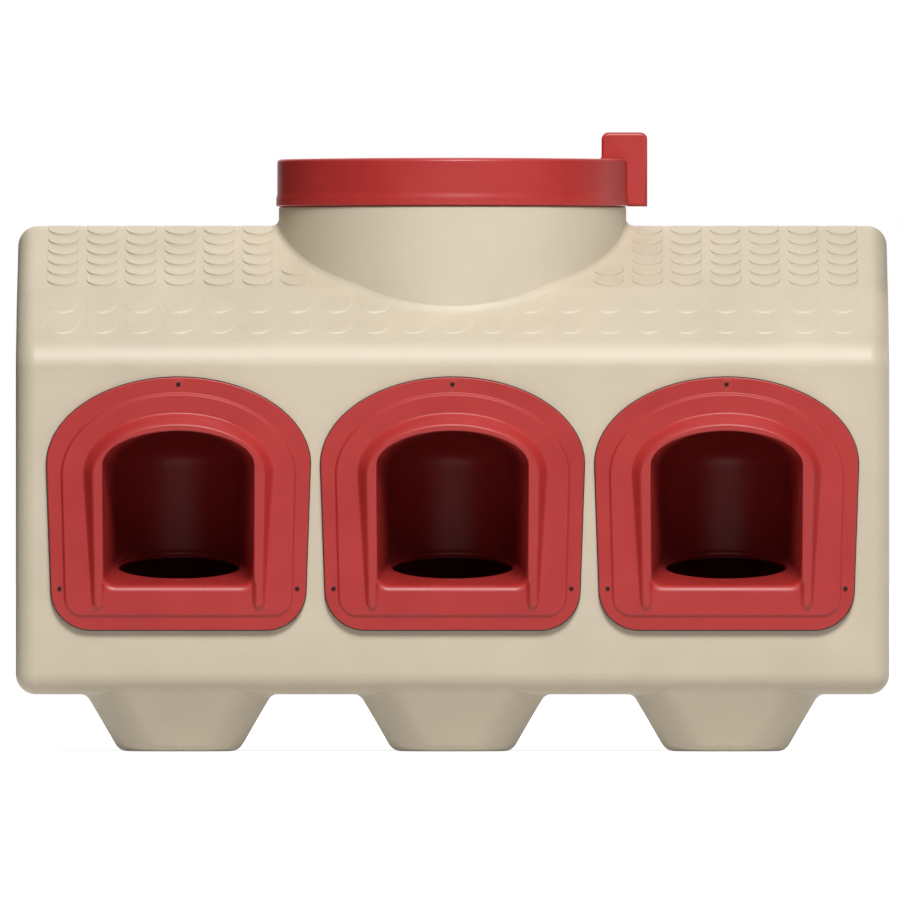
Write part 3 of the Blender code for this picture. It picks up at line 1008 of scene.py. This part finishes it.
def portMesh():
    tube, low, steps = (port[key] for key in ("tubeRadius", "tubeBottom", "tubeSteps"))
    skinRadius = tube + port["wall"]
    skirt = [(skinRadius, low, False), (skinRadius, -port["tubeOverlap"], True)]
    outside = tiltedRod(skirt, steps, "tubeOutside")
    # The cutter flares at the floor, which rounds the rim of the hole
    bore = [(tube, low - port["cutterReach"], False)]
    bore += [(tube + grow, height, True) for grow, height in port["tubeFlare"]]
    inside = tiltedRod(bore, steps, "tubeInside")
    return combine(portSkin(), [("UNION", outside), ("DIFFERENCE", inside)] + screwDrills())


paintedShadeLook = {
    # Painted shade: depths behind the wall's front in mm, and the shares of colour and gloss that are
    # left
    "depths": (-8, 48),
    "pocket": 0.6,
    "tube": 0.07,
    "rim": 0.6,
    "fade": 1.6,
}


def paintedPocketShade(tree, place):
    # Painted shade: the pocket darkens with depth, and the drop tube below its floor is darkest, as in
    # the photo
    rise = tangent(port["floorTilt"])
    axis = tankHalf - port["pocketSetback"]
    floorLine = port["opening"]["bottom"] + (tankHalf + plateauFront) * rise
    parts = addNode(tree, "ShaderNodeSeparateXYZ", {}, {"Vector": place}).outputs
    depths = [(depth - tankHalf) * mm for depth in paintedShadeLook["depths"]]
    pocket = mapped(tree, parts["Y"], depths, (1.0, paintedShadeLook["pocket"]))
    half = tank["portPitch"] / 2 * mm
    across = sums(tree, "WRAP", parts["X"], half, -half)
    deep = sums(tree, "ADD", parts["Y"], axis * mm)
    level = worked(tree, "ShaderNodeCombineXYZ", {}, {"X": across, "Y": deep})
    reach = vectorMath(tree, "LENGTH", {0: level}, "Value")
    edge = (port["tubeRadius"] + paintedShadeLook["rim"]) * mm
    inTube = sums(tree, "LESS_THAN", reach, edge)
    height = sums(tree, "MULTIPLY_ADD", parts["Y"], -rise, parts["Z"])
    top = floorLine - paintedShadeLook["rim"]
    heights = [(top - paintedShadeLook["fade"]) * mm, top * mm]
    tube = sums(tree, "MULTIPLY", inTube, mapped(tree, height, heights, (1.0, 0.0)))
    return floatMix(tree, tube, pocket, paintedShadeLook["tube"])


# The ports' plastic has painted shade in its pocket and drop tube
portPlastic = mouldedPlastic("injectionMouldedPolypropylenePort", redLook, paintedPocketShade)
portMaster = portMesh()
for side, x in portPlaces.items():
    mesh = moved(portMaster, x, -tankHalf)
    addPiece(f"port{side}", mesh, portPlastic, "tank", [f"port_{side.lower()}"])
print("ports made:", len(portMaster.polygons), "faces each")


def gasketMesh():
    outer = archLoop(port["flange"], port["gasketProud"])
    inner = archLoop(port["flange"], -port["gasketWidth"])
    back, front = -gasketBack, -gasketFront
    corners = [(outer, back), (outer, front), (inner, front), (inner, back)]
    rings = [[(x, y, z) for x, z in loop] for loop, y in corners]
    return combine(loft(rings, "gasket", ends="joined"), screwDrills())


gasketMaster = gasketMesh()
for side, x in portPlaces.items():
    mesh = moved(gasketMaster, x, -tankHalf)
    addPiece(f"gasket{side}", mesh, rubber, "tank", [f"port_gasket_{side.lower()}"])


def screwMesh():
    # A pan head with a cross recess, turned about Z and then laid down with its head to the front
    head, high, shank = (screw[key] for key in ("headRadius", "headHeight", "radius"))
    domed, pitch = screw["domeShare"], screw["threadPitch"]
    profile = []
    for angle in screw["domeAngles"]:
        turn = math.radians(angle)
        profile.append((head * math.sin(turn), high * (1 - domed + domed * math.cos(turn))))
    profile += [(head, 0), (shank, 0)]
    for i in range(screw["threadTurns"]):
        z = -screw["threadStart"] - i * pitch
        profile += [(shank, z), (shank * screw["threadRoot"], z - pitch / 2)]
    end = -screw["length"]
    profile += [(shank * screw["tipShare"], end + screw["tipLength"]), (0, end)]
    blank = turned(profile, screw["steps"], "screw")
    size = (2 * screw["recessReach"], screw["recess"], 2 * screw["recessDepth"])
    bars = [toMesh(box(size, (0, 0, high), turn), "recess") for turn in (0, 90)]
    mesh = combine(blank, [("DIFFERENCE", bar) for bar in bars])
    mesh.transform(Matrix.Rotation(math.radians(90), 4, "X"))
    return mesh


screwMaster = screwMesh()
nodeEnds = {"Top": "top", "LowLeft": "low_left", "LowRight": "low_right"}
seat = -tankHalf - flangeFront - port["gap"]
for side, portX in portPlaces.items():
    for place, (x, z) in screwPlaces().items():
        mesh = moved(screwMaster, portX + x, seat, z)
        node = f"port_screw_{side.lower()}_{nodeEnds[place]}"
        addPiece(f"screw{side}{place}", mesh, screwSteel, "tank", [node])
print("gaskets and screws made")


def tankMesh():
    # Every tool is one closed body, since several in one tool don't always cut alike
    outside, well = footOutside(), footInside()
    outline = archLoop(port["flange"], -port["gasketWidth"] - port["gasketProud"])
    reach = port["windowReach"]
    window = loft([[(x, y, z) for x, z in outline] for y in (-reach, reach)], "window")
    steps = [("UNION", moved(outside, x)) for x in portPlaces.values()]
    steps += [("UNION", neckOutside()), ("UNION", neckFillet())]
    hollow = tankBlock(tank["wall"], tank["insideSteps"])
    steps += [("DIFFERENCE", hollow), ("DIFFERENCE", neckInside())]
    for x in portPlaces.values():
        steps += [("DIFFERENCE", moved(well, x)), ("DIFFERENCE", moved(window, x, -tankHalf))]
        steps += screwDrills(x, -tankHalf)
    return combine(tankBlock(0, tank["edgeSteps"]), steps)


tankShell = tankMesh()
addPiece("tankShell", tankShell, tankPlastic, "tank", ["tank"])
print("tank made:", len(tankShell.polygons), "faces")
addPiece("roofScales", roofScales(), tankPlastic, "tank", ["tank"])


# Lid: a push-on cap with a bead round its rim and a lug at its edge, and a seal under its plate

lid = {
    "innerRadius": 118.1,
    "radius": 123.1,
    "bottom": 381.8,
    "ceiling": 411.6,
    "top": 414.8,
    "edgeRadius": 2.5,
    "crown": 0.98,
    "crownShares": (0, 0.25, 0.5, 0.7, 0.85, 0.95),
    "beadHeight": 8.8,
    "beadProud": 0.75,
    # The bead's upper side, as (share of how far it is proud, height from its upper edge)
    "beadSection": [(0, 0.6), (0.08, -0.4), (0.5, -1.8), (0.9, -3.2), (1, -4.2)],
    "rimRise": 0.6,
    "rimEdge": 0.5,
    "innerFillet": 1.5,
    "lugInner": 104.7,
    "lugOuter": 136.8,
    "lugThickness": 20,
    "lugTop": 433.8,
    "lugRadius": 4.8,
    "lugEdge": 2.4,
    "lugFillet": 3.0,
    # How far the lug's foot and its root sink into the lid
    "lugSink": 0.2,
    "lugRoot": 4,
    "lugSteps": 4,
    "steps": 192,
}


def lidMesh():
    radius, bottom, top = lid["radius"], lid["bottom"], lid["top"]
    edge, bead, proud = lid["edgeRadius"], lid["beadHeight"], lid["beadProud"]
    bore, ceiling = lid["innerRadius"], lid["ceiling"]
    rim, hollow = lid["rimEdge"], lid["innerFillet"]
    profile = [(share * radius, top + lid["crown"] * (1 - share**2)) for share in lid["crownShares"]]
    profile += arc(edge, 90, 0, 6, (radius - edge, top - edge))
    profile += [(radius + share * proud, bottom + bead + lift) for share, lift in lid["beadSection"]]
    profile += [
        (radius + proud, bottom + lid["rimRise"]),
        (radius + proud - rim, bottom),
        (bore + rim, bottom),
        (bore, bottom + rim),
        (bore, ceiling - hollow),
        (bore - hollow, ceiling),
        (0, ceiling),
    ]
    cap = turned(profile, lid["steps"], "lidCap")

    # The lug's outline from the side, with a fillet where its inner edge meets the lid's top
    inner, outer = lid["lugInner"], lid["lugOuter"]
    high, corner, fillet = lid["lugTop"], lid["lugRadius"], lid["lugFillet"]
    base, root = top - lid["lugSink"], lid["lugRoot"]
    outline = [
        (inner - fillet - 1, base - root),
        (radius - root, base - root),
        (radius - root, bottom),
        (outer, bottom),
        (outer, high - corner),
    ]
    outline += arc(corner, 0, 90, 6, (outer - corner, high - corner))
    outline += arc(corner, 90, 180, 6, (inner + corner, high - corner))
    outline += arc(fillet, 0, -90, 6, (inner - fillet, base + fillet))
    half = lid["lugThickness"] / 2
    bm = prism([(x, -half, z) for x, z in outline], (0, 2 * half, 0))
    rims = pickEdges(bm, lambda a, b: abs(a.y - b.y) < slack)
    roundOff(bm, rims, lid["lugEdge"], lid["lugSteps"])
    return combine(cap, [("UNION", toMesh(bm, "lug"))])


lidCap = lidMesh()
addPiece("lidCap", lidCap, lidPlastic, "lid", ["lid"])

seal = {"thickness": 2.0, "edge": 0.4, "steps": 128}


def sealMesh():
    # A flat ring with round edges, as wide as the spigot's wall and just above its rim
    edge, rise = seal["edge"], seal["thickness"] - seal["edge"]
    outer = neck["radius"] - neck["step"]
    inner = outer - tank["wall"]
    low = neck["top"] + neck["spigotHeight"] + port["gap"]
    profile = arc(edge, -90, 0, 2, (outer - edge, low + edge))
    profile += arc(edge, 0, 90, 2, (outer - edge, low + rise))
    profile += arc(edge, 90, 180, 2, (inner + edge, low + rise))
    profile += arc(edge, 180, 270, 2, (inner + edge, low + edge))
    return turned(profile + profile[:1], seal["steps"], "lidSeal")


addPiece("lidSeal", sealMesh(), rubber, "lid_seal", ["lid_seal"])
print("lid and seal made")


# Floor, sky, lamps and camera

stageLook = {
    "floorColour": "#dadada",
    "floorDrop": 0.0004,
    "roughness": 0.9,
    "gloss": 0.1,
    # Glow beside the object, which turns full white between two distances from it in metres
    "nearGlow": 0.87,
    "glowReach": (0.7, 2.2),
    "skyStrength": 0.05,
    "floorReach": 30.0,
    # Depths in metres over which gloss turns to white
    "gleamDepths": (-1.5, 0.5),
}
lampLook = {
    # (degrees round to the right of the front, degrees up, metres away, metres across, watts,
    # whether it shows in gloss)
    "key": (6.5, 46, 4.0, 1.6, 160, True),
    "back": (194, 35, 4.0, 1.6, 90, False),
    "rim": (124, 12, 3.0, 0.8, 5, True),
}
lampAim = (0, 0, 0.22)
cardLook = {
    # Cards beside the object, out of the picture, that keep the gloss off its left side and off
    # the lid's right end: (x, first y, last y, low, high, colour)
    "leftCard": (-0.6, -1.0, 1.2, 0.0, 0.9, "#1e1e1e"),
    "lidCard": (0.45, -0.3, 1.2, 0.36, 0.7, "#1e1e1e"),
}
cardThickness = 0.01
cameraLook = {
    # The photograph is a straight front view; the picture is this wide at the plane's depth
    "target": (-0.00175, 0.0, 0.2107),
    "distance": 24.5,
    "width": 0.630,
    "plane": -0.09,
    "sensor": 36,
    "clipEnd": 100,
}


def lookAt(thing, place, target):
    thing.location = place
    aim = Vector(target) - Vector(place)
    thing.rotation_euler = aim.to_track_quat("-Z", "Y").to_euler()


def whiteToCamera(tree, lit, placeOutput, near=1.0):
    # White for what the camera and glass see, and the plain light for everything else. Gloss
    # shows the white that lies behind the object, and not the dark room that it is lit in. Near
    # the object the white may be a little less, which leaves its shadow on the floor.
    path = addNode(tree, "ShaderNodeLightPath").outputs
    place = addNode(tree, "ShaderNodeTexCoord").outputs[placeOutput]
    depth = addNode(tree, "ShaderNodeSeparateXYZ", {}, {"Vector": place}).outputs["Y"]
    reach = vectorMath(tree, "LENGTH", {0: place}, "Value")
    soft = {"interpolation_type": "SMOOTHSTEP"}
    white = mapped(tree, reach, stageLook["glowReach"], (near, 1.0), soft)
    behind = mapped(tree, depth, stageLook["gleamDepths"], (lit, 1.0))
    gloss = floatMix(tree, path["Is Glossy Ray"], lit, behind)
    seen = sums(tree, "MAXIMUM", path["Is Camera Ray"], path["Is Transmission Ray"])
    return floatMix(tree, seen, gloss, white)


def stagePiece(name, bm, materialName, colour, glow=0.0):
    # A dull, plain piece, which may glow white to the camera
    material = bpy.data.materials.new(materialName)
    tree = emptyTree(material)
    terms = {
        "Base Color": colour,
        "Roughness": stageLook["roughness"],
        "Specular IOR Level": stageLook["gloss"],
    }
    if glow:
        terms["Emission Color"] = (1, 1, 1, 1)
        terms["Emission Strength"] = whiteToCamera(tree, 0.0, "Object", glow)
    surface(tree, terms)
    mesh = plainMesh(bm, name)
    mesh.materials.append(material)
    return addObject(name, mesh)


bm = bmesh.new()
bmesh.ops.create_grid(bm, x_segments=1, y_segments=1, size=stageLook["floorReach"])
bmesh.ops.translate(bm, verts=bm.verts, vec=(0, 0, -stageLook["floorDrop"]))
floor = stagePiece("floor", bm, "paleFloor", stageLook["floorColour"], stageLook["nearGlow"])

for name, (x, first, last, low, high, colour) in cardLook.items():
    size = (cardThickness, last - first, high - low)
    board = box(size, (x, (first + last) / 2, (low + high) / 2))
    card = stagePiece(name, board, f"{name}Board", colour)
    card.visible_camera = False
    card.visible_shadow = False

sky = bpy.data.worlds.new("whiteSky")
scene.world = sky
tree = emptyTree(sky)
light = whiteToCamera(tree, stageLook["skyStrength"], "Generated")
terms = {"Color": (1, 1, 1, 1), "Strength": light}
surface(tree, terms, "ShaderNodeBackground", "ShaderNodeOutputWorld")

for name, (bearing, up, away, size, watts, glint) in lampLook.items():
    turn, rise = math.radians(bearing), math.radians(up)
    level = away * math.cos(rise)
    height = lampAim[2] + away * math.sin(rise)
    place = (level * math.sin(turn), -level * math.cos(turn), height)
    lamp = bpy.data.lights.new(name, "AREA")
    lamp.shape = "DISK"
    lamp.size = size
    lamp.energy = watts
    holder = addObject(name, lamp)
    holder.visible_camera = False
    holder.visible_glossy = glint
    lookAt(holder, place, lampAim)

cameraData = bpy.data.cameras.new("camera")
cameraData.sensor_width = cameraLook["sensor"]
reach = cameraLook["distance"] + cameraLook["plane"]
cameraData.lens = cameraLook["sensor"] * reach / cameraLook["width"]
cameraData.clip_end = cameraLook["clipEnd"]
camera = addObject("camera", cameraData)
target = Vector(cameraLook["target"])
lookAt(camera, target - Vector((0, cameraLook["distance"], 0)), target)
scene.camera = camera
scene.view_settings.view_transform = "Standard"
print("stage set")
